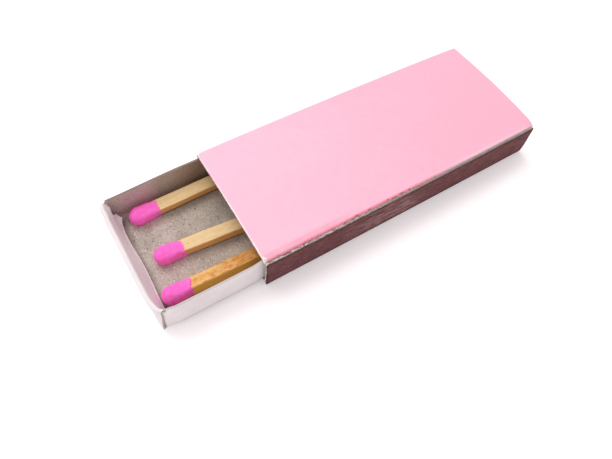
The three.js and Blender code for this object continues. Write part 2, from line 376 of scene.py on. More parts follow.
boardLook = {
    "greyPale": tint(217, 207, 196),
    "greyDark": tint(155, 145, 133),
    "fleckDark": tint(92, 76, 66),
    "fleckPale": tint(238, 229, 220),
    "fleckRed": tint(176, 96, 96),
    "shadeBrown": tint(112, 84, 60),
    "shadeTan": tint(176, 138, 102),
    "contactShade": tint(62, 40, 24),
    "bouncePink": tint(226, 190, 196),
    "whitePale": tint(251, 245, 246),
    "whiteDull": tint(238, 229, 231),
    "whiteCracksAndHighlight": tint(255, 253, 252),
    "edgePale": tint(220, 209, 200),
    "edgeDull": tint(174, 158, 147),
    "edgeCleanShaded": tint(210, 202, 196),
    "creaseWorn": tint(237, 229, 228),
    "edgeSoiled": tint(122, 104, 92),
    "edgeGreen": tint(184, 177, 160),
    "edgeBack": tint(152, 141, 131),
    "flecks": (  # colour, spacing, radius, share of the cells that have one, seed
        ("fleckDark", 0.42, 0.1, 0.34, 0.1),
        ("fleckPale", 0.46, 0.1, 0.24, 0.9),
        ("fleckDark", 1.5, 0.15, 0.4, 0.3),
        ("fleckPale", 1.3, 0.15, 0.2, 0.5),
        ("fleckRed", 1.9, 0.13, 0.2, 0.7),
    ),
    "fleckFray": (0.1, 0.1, 0.1),
    "smudges": (1.3, 0.06, 0.12, 0.2),
    # painted shade and painted pink bounce light inside the tray, by how far they are past the sleeve's
    # mouth, or from a wall
    "sleeveShadeStart": (-9.5, 0.5),
    "shadeStart": (-5.5, -0.5),
    "shadeEnd": (17.5, 5.5),
    "bounceRun": (-15.1, -12.5, -9.5, -6.5),
    "flapShadowRun": (-14, -14.7),
    "flapNear": (4.6, 2.4),
    "farPart": (1.3, 0.7),
    # wear of the tray's white side from its ends and its crease, painted shade from its bottom, and a painted
    # highlight from a flap's free edge
    "creaseRun": (1.6, 1.1),
    "creaseRise": (0.05, 0.22),
    "wallShadeRun": (1, 4),
    "wallShadeRise": (1.1, 0.45),
    "highlightRise": (0.3, 0.2),
    # cut edges: from the tray's front end and far wall, then along and across the sleeve
    "cleanShadedRun": (1, 2),
    "soiledRun": (0.4, 1.2),
    "soiledPart": (1, 0.6),
    "backRun": (-12, 22),
    "busyRun": (0, -18),
    "frayRun": 0.35,
    "pinkPart": (3, 8),
    "pinkEnd": (0.1, 0.4),
    "pinkDown": 0.4,
    "cornerPart": (0.4, 0.05),
    "cornerDown": 0.9,
    "coatOver": (0.0, 0.08),
    "coatDown": 0.25,
    "coatRun": 0.3,
}


def greyBoard(name, paintedLight=False):  # uncoated grey board, made from waste paper: flecks and fibres
    look = boardLook
    material, place = newFinish(name)
    x, y, _ = parts(place)
    lumps = cloud(place, 3.0, 4, 0.6)
    grit = cloud(place, 0.16, 3, 0.7)
    fibre = cloud(stretched(place, 1, 0.18, 1), 0.09, 2)
    tone = rise(lumps * 0.3 + grit * 0.65 + fibre * 0.35, 0.46, 0.82)
    colour = paint(tone, look["greyDark"], look["greyPale"])
    ragged = warped(place, cloud(place, 0.2, 1), *look["fleckFray"])
    for spot, *sizes in look["flecks"]:
        colour = paint(flecks(ragged, *sizes) * 0.75, colour, look[spot])
    if paintedLight:  # painted shade by the sleeve, most of all on the far wall, painted pink bounce light on the far wall at the front, and a painted shadow beside the front flap
        along = x - mouth
        onWall = rise(farWall - y, *look["farPart"])
        onFloor = 1 - onWall
        inside = rise(along, *look["shadeEnd"])
        shadeBySleeve = rise(along + lumps * 3, *look["sleeveShadeStart"]) * inside
        shade = rise(along, *look["shadeStart"]) * inside
        pinkBounce = within(along, *look["bounceRun"])
        shadowByFlap = rise(along, *look["flapShadowRun"]) * (0.3 + rise(y - nearWall, *look["flapNear"]) * 0.5)
        # each share paints light or shade: shade by the sleeve on the floor and the far wall, pink bounce
        # light on the far wall's front, and the flap's shadow on the floor
        for share, stain in (
            (shadeBySleeve * onFloor * 0.17, "shadeBrown"),
            (shadeBySleeve * onWall * 0.45, "shadeTan"),
            (shade * onWall * 0.36, "shadeBrown"),
            (pinkBounce * onWall * 0.38, "bouncePink"),
            (shadowByFlap * onFloor, "contactShade"),
        ):
            colour = paint(share, colour, look[stain])
    return coat(material, colour, rough=0.92, gloss=0.2, bump=grit * 0.7 + fibre * 0.6, depth=0.02)


def whiteBoard(name, freeEdge=None, shadedShare=0.0):
    # the tray's coated side: worn along the creases of the end walls, with painted shade along the foot of
    # the near wall and a painted highlight along a free edge; a share of painted shade gives a darker copy of
    # it
    look = boardLook
    material, place = newFinish(name)
    x, y, z = parts(place)
    lumps = cloud(place, 5.0, 3)
    weave = cloud(place, 0.3, 4, 0.65)
    tone = rise(lumps * 0.6 + weave * 0.4, 0.3, 0.7)
    # with a share given, the whole side is taken towards its darker tone: painted shade
    colour = paint(tone * (1 - shadedShare), look["whiteDull"], look["whitePale"])
    colour = paint(flecks(place, *look["smudges"]) * 0.35, colour, look["edgeDull"])
    along = x - trayLow.x
    atEnd = rise(along, *look["creaseRun"]) + rise(trayHigh.x - x, *look["creaseRun"])
    worn = rise(z - creaseUp + weave * 0.2, *look["creaseRise"]) * atEnd
    colour = paint(worn * 0.6, colour, look["creaseWorn"])
    # painted shade along the foot of the near wall, in the edge's dull colour
    soilAndShade = rise(z - trayLow.z + weave * 0.3, *look["wallShadeRise"]) * rise(along, *look["wallShadeRun"])
    colour = paint(soilAndShade * 0.5 * (y < nearWall + 0.3), colour, look["edgeDull"])
    if freeEdge is not None:
        # a painted highlight along the free edge
        colour = paint(rise(z - freeEdge + weave * 0.12, *look["highlightRise"]), colour, look["whiteCracksAndHighlight"])
    return coat(material, colour, rough=0.62, gloss=0.35, bump=weave, depth=0.012)


def cutEdge(name, onTray):  # raw edges of the board, with white and dark fibres
    look = boardLook
    material, place = newFinish(name)
    x, y, z = parts(place)
    fray = cloud(place, 0.22, 3, 0.7)
    long = cloud(stretched(place, 0.2, 1, 1), 0.35, 2)
    dashes = cloud(stretched(place, 0.45, 1, 1), 0.22, 3, 0.7)
    pale = rise(fray * 0.5 + long * 0.6, 0.4, 0.75) * 0.8
    if onTray:  # the near wall's edge is clean, darkened with painted shade, and the far wall's is soiled
        along = x - trayLow.x
        cleanShaded = rise(y, trayMiddleY, nearWall + 1) * rise(along, *look["cleanShadedRun"])
        soilAndShade = rise(farWall - y, *look["soiledPart"]) * rise(along, *look["soiledRun"])
        colour = paint(pale, look["edgeDull"], look["edgePale"])
        # the near wall's edge: clean, and darkened as painted shade
        colour = paint(cleanShaded * 0.8, colour, look["edgeCleanShaded"])
        colour = paint(soilAndShade * 0.75, colour, look["edgeSoiled"])
    else:  # the sleeve's mouth is frayed paler, and its edges are calmer towards the back
        along, aside, down = x - mouth, farSide - y, topPanel - z
        frayed = along < look["frayRun"]
        colour = paint(rise(x, *look["backRun"]), look["edgeGreen"], look["edgeBack"])
        colour = paint(pale * 0.4 + (1 - pale) * 0.85 * frayed, colour, look["edgePale"])
        pinkEdge = rise(y + fray * 4, *look["pinkPart"]) * rise(aside, *look["pinkEnd"])
        pinkEdge = pinkEdge * frayed * (down < look["pinkDown"])
        colour = paint(pinkEdge * 0.8, colour, sleeveLook["pinkFold"])
        whiteCorner = rise(aside, *look["cornerPart"]) * frayed * (down < look["cornerDown"])
        colour = paint(whiteCorner * 0.8, colour, look["whiteCracksAndHighlight"])
        busy = 0.12 + 0.88 * rise(x, *look["busyRun"])
        colour = paint(rise(dashes, 0.52, 0.6) * busy * 0.7, colour, look["whiteCracksAndHighlight"])
        colour = paint(rise(dashes, 0.48, 0.4) * busy * 0.8, colour, look["fleckDark"])
        coated = rise(outerLap - y, *look["coatOver"]) * (z > lapTop - look["coatDown"])
        colour = paint(coated * (along > look["coatRun"]) * 0.5, colour, strikerLook["dark"])
    return coat(material, colour, rough=0.95, gloss=0.15, bump=fray, depth=0.04)


# sleeve: one strip of card, from the inner seam panel over the top, the far side and the bottom to the outer
# seam panel

sleeveLook = {
    "card": 0.4,
    "fold": 0.21,  # radius on the middle of the card
    "seamGap": 0.06,
    "lapDrop": 0.42,  # free edge of the outer seam panel, below the top
    "lapLift": 0.5,
    "crown": 0.36,  # the top bulges this much
    "crownShape": 1.2,  # a higher power is more pointed
    "bulgeShape": 0.6,
    "cell": 0.55,
    "cuts": (11, 44, 12, 44, 13),
    "foldCuts": 8,
    "endRun": 2.5,  # wear comes in over this distance from an end
    "ragged": 0.045,
    "lapJog": (0.1, 0.56),  # the outer panel's upper corners stand back, by the mouth and at the back end
    "jogRise": ((3.3, 4.1), (1.5, 6.6)),
    "lapPress": 0.045,  # and its free edge is pressed in
    "pressRun": 1.2,
    "seamBack": 0.6,  # the inner panel's ends stand back
    "seamDown": (0.3, 1.6),
    "farBulge": 0.3,  # the far side stands out along its top
    "nearBow": 0.13,  # and the near side in the middle of its length
    "bowRun": 2.5,
    "crushTight": 1.8,  # the near fold is crushed at both ends: down and in, by the mouth and at the back end
    "crushDown": (0.14, 0.24),
    "crushIn": (0.08, 0.1),
    "topBack": 0.22,  # the top's back edge is worn short
    "topRise": 0.6,
    "cornerBack": 0.3,  # and rounded at its near corner
    "cornerRun": 0.9,
    # wear of the print, along x or from the near fold
    "upper": 0.7,  # it reaches this far down from the top
    "frontHalf": (14, -6),
    "foldIn": (0.3, -0.1),
    "scoreIn": 0.64,
    "scoreSpread": 0.035,
    "scoreRun": (29.5, 3),  # from the mouth
    "handledRun": (-6, -19),
    "handledIn": (1.25, 0.35),
    "scrapedIn": (0, -0.14),
    "crackedIn": (-0.02, -0.14),
    "mouthRun": (0.54, 0.44),
    "mouthPart": (8, 2),
    # chips at the mouth's near and far corner: place past the fold, raggedness and size
    "chips": ((0.2, 0.8, (0.55, 0.8)), (0.1, 0.3, (0.3, 0.45))),
    "sideRise": (0.28, 0.5),
    "pinkPale": tint(255, 196, 215),
    "pinkDeep": tint(253, 182, 202),
    "pinkFold": tint(238, 158, 178),
    "pinkScrape": tint(255, 126, 154),
    "pinkRubAndLight": tint(255, 216, 230),
    "bare": tint(255, 250, 247),
}
sleeveLow, sleeveHigh = boxOf("sleeve")
half = sleeveLook["card"] / 2
mouth, backEnd = sleeveLow.x, sleeveHigh.x
outerLap = sleeveLow.y + half
innerLap = outerLap + sleeveLook["card"] + sleeveLook["seamGap"]
farSide = sleeveHigh.y - half
topPanel = sleeveHigh.z - half
lapTop = sleeveHigh.z - sleeveLook["lapDrop"]
bottomPanel = sleeveLow.z + half


def bulged(x):  # 0 at the sleeve's ends, 1 in the middle of its length
    length = (x - mouth) / (backEnd - mouth)
    return math.sin(math.pi * min(max(length, 0), 1)) ** sleeveLook["bulgeShape"]


def nearBow(x, z):  # how far the near side stands out
    return sleeveLook["nearBow"] * bulged(x) * (0.4 + 0.6 * ease(bottomPanel, topPanel, z))


def wornSleeve(x, y, z):  # how handling has moved a point of the folded sleeve
    look = sleeveLook
    if z > topPanel - 0.02:  # on the top
        across = (y - innerLap) / (farSide - innerLap)
        z += look["crown"] * math.sin(math.pi * across) ** look["crownShape"]
    farOut = look["farBulge"] * bulged(x) * ease(0, farSide, y) * ease(bottomPanel, topPanel, z)
    nearOut = nearBow(x, z) * ease(look["bowRun"], 0, y - innerLap)
    toMouth = ease(look["endRun"], 0, x - mouth)
    toBack = ease(look["endRun"], 0, backEnd - x)
    x += look["ragged"] * (toMouth + toBack) * ripple(0.9, x, y * 1.3, z * 2.1)
    if y < outerLap + 0.1:  # on the outer seam panel
        x += look["lapJog"][0] * toMouth * ease(*look["jogRise"][0], z)
        x -= look["lapJog"][1] * toBack * ease(*look["jogRise"][1], z)
        y += look["lapPress"] * ease(look["pressRun"], 0, lapTop - z)
    elif y < innerLap + 0.01:  # on the inner one
        x += look["seamBack"] * (toMouth - toBack) * ease(*look["seamDown"], topPanel - z)
    fromFold = Vector((y - innerLap, z - topPanel))
    crushed = math.exp(-look["crushTight"] * fromFold.length_squared) * (y > outerLap + 0.2)
    z -= crushed * (look["crushDown"][0] * toMouth + look["crushDown"][1] * toBack)
    y += crushed * (look["crushIn"][0] * toMouth + look["crushIn"][1] * toBack)
    worn = look["topBack"] + look["cornerBack"] * ease(look["cornerRun"], 0, y - innerLap)
    x -= worn * toBack * ease(look["topRise"], 0, topPanel - z) * (y > outerLap + 0.2)
    return x, y + farOut - nearOut, z


def pinkPrint():
    look = sleeveLook
    material, place = newFinish("pink print")
    x, y, z = parts(place)
    patches = cloud(place, 9.0, 4, 0.55)
    mottle = cloud(place, 1.1, 4, 0.6)
    fibre = cloud(place, 0.22, 3, 0.7)
    # paler towards the mouth: painted light falling off along the top
    paintedFalloff = rise(x, mouth - 6, backEnd + 4)
    deep = rise(paintedFalloff * 0.75 + patches * 0.35 + mottle * 0.6 + fibre * 0.15, 0.4, 1.35)
    colour = paint(deep, look["pinkPale"], look["pinkDeep"])
    # the near fold is painted lighter on its back half, as rubbed print and painted light against its shade,
    # and darker on its front half, as rubbing and painted shade, with a score line beside it at the mouth's
    # end, and cracked
    along, fromFold = x - mouth, y - innerLap
    upper = z > topPanel - look["upper"]
    frontHalf = rise(x, *look["frontHalf"])
    fold = rise(fromFold, *look["foldIn"]) * upper
    # the fold's back half painted lighter: rubbed print, and painted light against the fold's shade
    colour = paint(fold * (1 - frontHalf) * 0.8, colour, look["pinkRubAndLight"])
    score = rise(squared(fromFold - look["scoreIn"]), look["scoreSpread"], 0) * rise(along, *look["scoreRun"])
    # the fold's front half painted darker, as rubbing and as painted shade, and the score line
    rubAndShade = (fold * 0.2 * frontHalf + score * 0.18 * upper) * (0.55 + mottle * 0.7)
    colour = paint(rubAndShade, colour, look["pinkFold"])
    handled = rise(fromFold, *look["handledIn"]) * rise(x, *look["handledRun"]) * upper
    colour = paint(handled * (0.3 + mottle * 0.5), colour, look["pinkFold"])
    scraped = rise(fromFold, *look["scrapedIn"]) * upper * frontHalf
    colour = paint(scraped * (0.3 + mottle * 0.6), colour, look["pinkScrape"])
    cracks = cloud(stretched(place, 0.4, 1, 1), 0.3, 3, 0.7)
    cracked = rise(cracks, 0.54, 0.62) * rise(fromFold, *look["crackedIn"]) * upper * frontHalf
    colour = paint(cracked * 0.7, colour, boardLook["fleckDark"])
    # bare board where the mouth's corners and edge have lost their print
    chipped = 0
    for corner, (past, ragged, size) in zip((innerLap, farSide), look["chips"]):
        away = squared(along) + squared(y - corner - past) + mottle * ragged
        chipped = chipped + (1 - rise(away, *size)) * upper
    atMouth = rise(along + fibre * 0.4 + mottle * 0.25, *look["mouthRun"])
    atMouth = atMouth * (0.4 + 0.6 * rise(y + mottle * 5, *look["mouthPart"]))
    colour = paint(atMouth * 0.8 + chipped * 0.9 - atMouth * chipped * 0.7, colour, look["bare"])
    torn = chipped * rise(cloud(place, 0.3, 3, 0.7), 0.5, 0.6)
    colour = paint(torn * 0.6, colour, boardLook["edgeDull"])
    # the side panels are painted before the striking coat goes on
    sides = rise(z, *look["sideRise"]) * (z < lapTop + 0.02)
    sides = sides * ((y < sleeveLow.y + 0.25) + (y > sleeveHigh.y - 0.12))
    colour = paint(sides, colour, strikerLook["dark"])
    return coat(material, colour, rough=0.55, gloss=0.3, bump=fibre * 0.6 + mottle * 0.4, depth=0.012)


# striking coats, rolled on over the side panels

strikerLook = {
    "coat": 0.1,
    "grain": tint(130, 76, 78),
    "dark": tint(64, 36, 40),
    "scuff": tint(186, 150, 150),
    "wrap": 48,  # degrees that a coat goes round the bottom fold
    "clear": 0.04,  # bare card under the panel's free edge
    "endGap": 0.02,
    "cell": 0.4,
    "turnCell": 0.12,  # radians
    "ragged": 0.03,  # of its upper edge
    "raggedRun": 0.6,
    "soften": 0.03,
    # match strokes: along the coat, and up it
    "scuffRun": (-16, -7, -2, 6),
    "strokeRun": (-12, -7, -2, 3),
    "strokeRise": (0.9, 1.7, 3.4, 5.2),
    "strokeSway": (0, 0, 1.2),
    "specks": (0.5, 0.07, 0.25, 0.3),
    # dark rims: up from the bottom, down from the free edge and in from the mouth
    "footRim": (1.15, 0.75),
    "topRim": (0.38, 0.14),
    "mouthRim": (0.4, 0.2),
}


def strikingCoat():
    look = strikerLook
    material, place = newFinish("striking coat")
    x, _, z = parts(place)
    grain = cloud(place, 0.16, 4, 0.75)
    blotch = cloud(place, 1.6, 3, 0.6)
    lumps = cloud(place, 0.45, 2, 0.6)
    tone = rise(grain * 0.5 + lumps * 0.5 + blotch * 0.3, 0.36, 0.88)
    colour = paint(tone, look["dark"], look["grain"])
    # match strokes have left pale streaks, most of all along the middle
    bent = warped(place, cloud(place, 4.0, 2), *look["strokeSway"])
    streaks = cloud(stretched(bent, 0.12, 1, 1), 0.34, 4, 0.65)
    rubs = rise(cloud(stretched(place, 0.35, 1, 0.9), 1.8, 3, 0.6), 0.36, 0.54)
    middle = within(x, *look["scuffRun"])
    strokes = within(x, *look["strokeRun"]) * within(z, *look["strokeRise"])
    scuffed = rise(streaks, 0.42, 0.6) * (0.08 + rubs * middle * 0.45 + strokes * 0.5)
    colour = paint(scuffed * 0.8, colour, look["scuff"])
    colour = paint(flecks(place, *look["specks"]) * 0.3, colour, look["scuff"])
    # the coat is darker along its rims: at the bottom, below the free edge and at the mouth
    footRim = rise(z + grain * 0.3, *look["footRim"])
    topRim = rise(lapTop - z - grain * 0.1, *look["topRim"])
    mouthRim = rise(x - mouth + grain * 0.1, *look["mouthRim"])
    colour = paint(footRim * 0.6 + topRim * 0.4 + mouthRim * 0.6, colour, look["dark"])
    return coat(material, colour, rough=0.9, gloss=0.25, bump=grain, depth=0.05)


def buildSleeve():
    look = sleeveLook
    corners = [
        (innerLap, sleeveLow.z + look["card"] + look["lapLift"]),
        (innerLap, topPanel, look["fold"]),
        (farSide, topPanel, look["fold"]),
        (farSide, bottomPanel, look["fold"]),
        (outerLap, bottomPanel, look["fold"]),
        (outerLap, lapTop),
    ]
    profile = foldLine(corners, look["cuts"], look["foldCuts"])
    lengths = steps(mouth, backEnd, look["cell"])
    bm = bmesh.new()
    layRows(bm, [[wornSleeve(x, y, z) for x in lengths] for y, z in profile])
    finishes = [pinkPrint(), greyBoard("sleeve inside"), cutEdge("sleeve cut edge", False)]
    carry(cardPiece("folded_sleeve", bm, look["card"], finishes), "sleeve", "printed_card", "sleeve")


def buildStrikers():
    look = strikerLook
    finish = strikingCoat()
    foldOut = sleeveLook["fold"] + half
    lengths = steps(mouth + look["endGap"], backEnd - look["endGap"], look["cell"])
    for node, side, top in (("near_striker", -1, lapTop), ("far_striker", 1, sleeveHigh.z - foldOut)):
        outside = sleeveHigh.y + look["coat"] / 2
        line = [(outside, z) for z in steps(top - look["clear"], sleeveLow.z + foldOut, look["cell"])]
        for turn in steps(0, math.radians(look["wrap"]), look["turnCell"])[1:]:
            reach = foldOut + look["coat"] / 2
            across = sleeveHigh.y - foldOut + reach * math.cos(turn)
            line.append((across, sleeveLow.z + foldOut - reach * math.sin(turn)))
        bm = bmesh.new()
        rows = []
        for y, z in line:
            ragged = look["ragged"] * ripple(0.8, z, 7 * side, 3) * ease(look["raggedRun"], 0, top - z)
            rows.append([wornSleeve(x, side * y, z + ragged) for x in lengths])
        layRows(bm, rows, side < 0)
        piece = cardPiece(node + "_coat", bm, look["coat"], [finish] * 3, look["soften"])
        carry(piece, "sleeve", "striking_coat", node)


glueLook = {
    "film": 0.034,
    "cell": 0.5,
    "bay": 0.35,  # its rim wanders in by about this much
    "bayShape": (9, 3),  # at its ends, and along its edges
    "soften": 0.008,
    "clear": tint(214, 204, 170),
    "milky": tint(233, 227, 208),
}


def seamGlue():
    look = glueLook
    material, place = newFinish("seam glue")
    swirls = cloud(stretched(place, 0.4, 1, 1), 1.2, 4, 0.6)
    colour = paint(rise(swirls, 0.35, 0.65), look["clear"], look["milky"])
    return coat(material, colour, rough=0.35 + swirls * 0.3, gloss=0.5, bump=swirls, depth=0.01)


def buildGlue():  # a pressed film with a wandering rim, between the two seam panels
    look = glueLook
    low, high = boxOf("seam_glue")
    bm = bmesh.new()
    rows = []
    for z in steps(low.z, high.z, look["cell"]):
        up = (z - low.z) / (high.z - low.z) * 2 - 1
        row = []
        for x in steps(low.x, high.x, look["cell"]):
            along = (x - low.x) / (high.x - low.x) * 2 - 1
            inX = look["bay"] * (1 + ripple(1.4, z, 5, 1)) * abs(along) ** look["bayShape"][0]
            inZ = look["bay"] * (1 + ripple(2.3, x, 2, 4)) * abs(up) ** look["bayShape"][1]
            y = (low.y + high.y) / 2 - nearBow(x, z)
            row.append((x - math.copysign(inX, along), y, z - math.copysign(inZ, up)))
        rows.append(row)
    layRows(bm, rows, True)
    piece = cardPiece("seam_glue_film", bm, look["film"], [seamGlue()] * 3, look["soften"])
    carry(piece, "sleeve", "seam_glue", "seam_glue")


# tray: one blank of card, with its floor, long walls, end walls and the corner tabs behind the end walls. The
# end walls go on over a crease into the flaps that hang inside

trayLook = {
    "card": 0.35,
    "fold": 0.28,
    "tabSlack": 0.02,  # between an end wall, the tab behind it and the flap
    "tabReach": 4.5,
    "tabTop": 6.05,
    "tabDrop": 1.85,  # its top edge falls this much within the first millimetre, then tapers
    "tabFall": (0.25, 1.1),
    "tabTaper": 0.14,
    "cell": 0.55,
    "runOnCell": 0.12,
    "wallCuts": 12,
    "floorCuts": 42,
    "foldCuts": 7,
    "tabCuts": 7,
    "endCuts": (2, 11, 1),
    "farLean": (0.42, -0.13),  # the far wall leans in by this much at the pulled-out end, and by the sleeve
    "nearLean": 0.06,
    "leanRun": 15,
    "leanIn": (0.6, 0.1),  # it comes in over these distances from a wall
    "nearBulge": 0.2,  # outside the sleeve the near wall stands out
    "bulgeFront": (0.6, 3),
    "bulgeMouth": (-0.4, 1.6),
    "bulgeIn": (1.6, 0.2),
    "holdRun": (3.6, 1.2),  # an end wall's push is gone so far in from the end
    "crease": 0.18,  # radius where an end wall turns over into its flap
    "lip": 0.02,  # flat top of the crease, where the flap goes on
    "endFoot": (0.12, 0.06),  # an end wall's foot stands out past the near and the far wall
    "endDrawn": (0.37, 0.5),  # and its top is drawn in at the near and far corner
    # how far the front end wall's top is pushed in, at places across the tray
    "frontPush": ((-10.02, 0.85), (-9.6, 0.36), (-8.8, 0.06), (-7.3, -0.2), (-5, -0.28), (0, -0.34),
                  (5, -0.42), (7, -0.42), (8, -0.32), (9, -0.4), (9.7, -0.28), (10.4, -0.08)),
    "rearPush": ((-10.3, 0.1), (-9.8, 0.3), (-8.6, 0.05), (0, -0.12), (8.6, 0.02), (10.1, 0.3), (10.62, 0.0)),
    "footPush": ((-10.5, 0.25), (-9, 0.02), (9, 0.02), (10.9, 0.25)),
    # inner face of a flap at its free edge, in from the tray's end
    "frontEdge": ((-9.5, 1.7), (-6, 1.72), (-2.2, 1.82), (0.1, 1.8), (2.6, 1.68), (5, 1.52), (7.8, 1.5),
                  (9.5, 1.72), (10.4, 2.12)),
    "rearEdge": ((-9.5, 1.85), (0, 1.7), (9.6, 1.8)),
}
trayLow, trayHigh = boxOf("tray")
trayHalf = trayLook["card"] / 2
nearWall = trayLow.y + trayHalf
farWall = trayHigh.y - trayHalf
floorMiddle = trayLow.z + trayHalf
foldTop = floorMiddle + trayLook["fold"]
creaseUp = trayHigh.z - trayHalf
trayMiddleY = (trayLow.y + trayHigh.y) / 2
tabIn = trayLook["card"] * 1.5 + trayLook["tabSlack"]
panelStart = tabIn + trayLook["fold"]  # the floor and long walls begin here, in from an end
trayEnds = {
    "front": {
        "place": lambda inward: trayLow.x + inward,
        "push": curveThrough(trayLook["frontPush"]),
        "edge": curveThrough(trayLook["frontEdge"]),
        "sign": 1,
    },
    "rear": {
        "place": lambda inward: trayHigh.x - inward,
        "push": curveThrough(trayLook["rearPush"]),
        "edge": curveThrough(trayLook["rearEdge"]),
        "sign": -1,
    },
}
footPush = curveThrough(trayLook["footPush"])
nearly = 1e-5  # two places closer than this are the same


def bentTray(x, y, z):  # how a point of the straight tray has been bent by use
    look = trayLook
    height = (z - floorMiddle) / (creaseUp - floorMiddle)
    upper = ease(0, 1, height)
    forward = ease(trayLow.x + look["leanRun"], trayLow.x - 1, x)
    lean = between(look["farLean"][1], look["farLean"][0], forward) * ease(*look["leanIn"], farWall - y)
    lean -= look["nearLean"] * ease(*look["leanIn"], y - nearWall) * (0.25 + 0.75 * forward)
    outside = ease(*look["bulgeFront"], x - trayLow.x) * ease(*look["bulgeMouth"], mouth - x)
    y -= look["nearBulge"] * outside * ease(*look["bulgeIn"], y - nearWall)
    for end in trayEnds.values():
        inward = (x - end["place"](0)) * end["sign"]
        hold = ease(*look["holdRun"], inward) * ease(panelStart, tabIn, inward - upper * 2)
        x += end["sign"] * hold * (end["push"](y) * upper + footPush(y) * (1 - upper))
    return x, y - lean * height, z


def endColumns(levels, height, reach):
    # where an end wall's columns stand, at a height from 0 to 1. Its side edges stand out by the share reach
    look = trayLook
    low = trayLow.y - look["endFoot"][0]
    high = trayHigh.y + look["endFoot"][1]
    near = low + look["endDrawn"][0] * height
    far = high - look["endDrawn"][1] * height
    inner = [between(near, far, (y - low) / (high - low)) for y in levels]
    return [between(inner[0], near, reach), *inner, between(inner[-1], far, reach)]


def layTab(bm, channel, end, side, wallY):  # a long wall turns in behind an end wall as a tab
    look = trayLook
    tabEnd = wallY - side * (look["tabReach"] - trayHalf)
    corners = [(panelStart, wallY), (tabIn, wallY, look["fold"]), (tabIn, tabEnd)]
    line = foldLine(corners, [0, look["tabCuts"]], look["foldCuts"])
    heights = sorted(z for y, z in channel if abs(y - wallY) < nearly and z < look["tabTop"])
    foot, head = heights[0], heights[-1]
    middle = (foot + head) / 2
    rows = []
    for z in heights:
        row = []
        for inward, y in line:
            reach = abs(y - wallY)
            taper = 1 - look["tabTaper"] * reach / look["tabReach"]
            drop = look["tabDrop"] * ease(*look["tabFall"], reach) * (z - foot) / (head - foot)
            row.append(bentTray(end["place"](inward), y, middle + (z - drop - middle) * taper))
        rows.append(row)
    layRows(bm, rows, side * end["sign"] < 0)


def buildTray(finishes):
    look = trayLook
    bm = newSheet()
    corners = [
        (farWall, trayHigh.z),
        (farWall, floorMiddle, look["fold"]),
        (nearWall, floorMiddle, look["fold"]),
        (nearWall, trayHigh.z),
    ]
    channel = foldLine(corners, [look["wallCuts"], look["floorCuts"], look["wallCuts"]], look["foldCuts"])
    lengths = steps(trayLow.x + panelStart, trayHigh.x - panelStart, look["cell"])
    layRows(bm, [[bentTray(x, y, z) for x in lengths] for y, z in channel])
    levels = sorted(y for y, z in channel if abs(z - floorMiddle) < nearly)
    for end in trayEnds.values():
        place, sign = end["place"], end["sign"]
        for side, wallY in ((1, farWall), (-1, nearWall)):
            # the fold under the wall runs on to the end wall
            fold = [(y, z) for y, z in channel if (y - trayMiddleY) * side > 0 and z < foldTop + nearly]
            fold = [(y, z) for y, z in fold if not levels[0] + nearly < y < levels[-1] - nearly]
            runOn = steps(panelStart, look["card"] + look["tabSlack"], look["runOnCell"])
            layRows(bm, [[bentTray(place(inward), y, z) for inward in runOn] for y, z in fold], sign > 0)
            layTab(bm, channel, end, side, wallY)
        corners = [
            (panelStart, floorMiddle),
            (trayHalf, floorMiddle, look["fold"]),
            (trayHalf, creaseUp, look["crease"]),
            (trayHalf + look["crease"] + look["lip"], creaseUp),
        ]
        rows = []
        for k, (inward, z) in enumerate(foldLine(corners, look["endCuts"], look["foldCuts"])):
            height = ease(0, 1, (z - floorMiddle) / (creaseUp - floorMiddle))
            pastFold = min(max((k - look["endCuts"][0]) / look["foldCuts"], 0), 1)
            rows.append([bentTray(place(inward), y, z) for y in endColumns(levels, height, pastFold)])
        joinAlong(bm, layRows(bm, rows, sign > 0)[-1])
    carry(cardPiece("folded_tray", bm, look["card"], finishes), "tray", "grey_board", "tray")
    return levels


flapLook = {
    "front": {
        "nearGap": 0.95,  # free edges stand this far from the crease's ends
        "farGap": 0.06,
        "tear": 1.1,  # torn off the far corner
        "notch": 1.35,  # and off the far edge
        "heldBack": 0.52,  # the far corner stays by the end wall
        "cornerUp": 0.7,
        "puff": 0.5,  # and its crest stands in
    },
    "rear": {"nearGap": 0.7, "farGap": 0.7, "tear": 0.2, "notch": 0, "heldBack": 0, "cornerUp": 0, "puff": 0},
    "curl": 0.24,  # the free edge curls away from the wall
    "curlUp": 0.8,
    "torn": 0.12,
    "waver": 0.07,
    "cuts": (1, 10, 1),
    "foldCuts": 8,
    # shares of the flap's height, from the crease down
    "gapRun": 0.16,
    "tearFrom": 0.72,
    "notchRun": (0.08, 0.36, 0.42, 0.9),
    "puffRun": (0.02, 0.26, 0.26, 0.54),
    "cornerRun": (0.6, 1),
    # places across the tray
    "heldPart": (9.25, 10.3),
    "puffPart": (8.6, 9.7),
    "cornerPart": (7.9, 9.3),
}


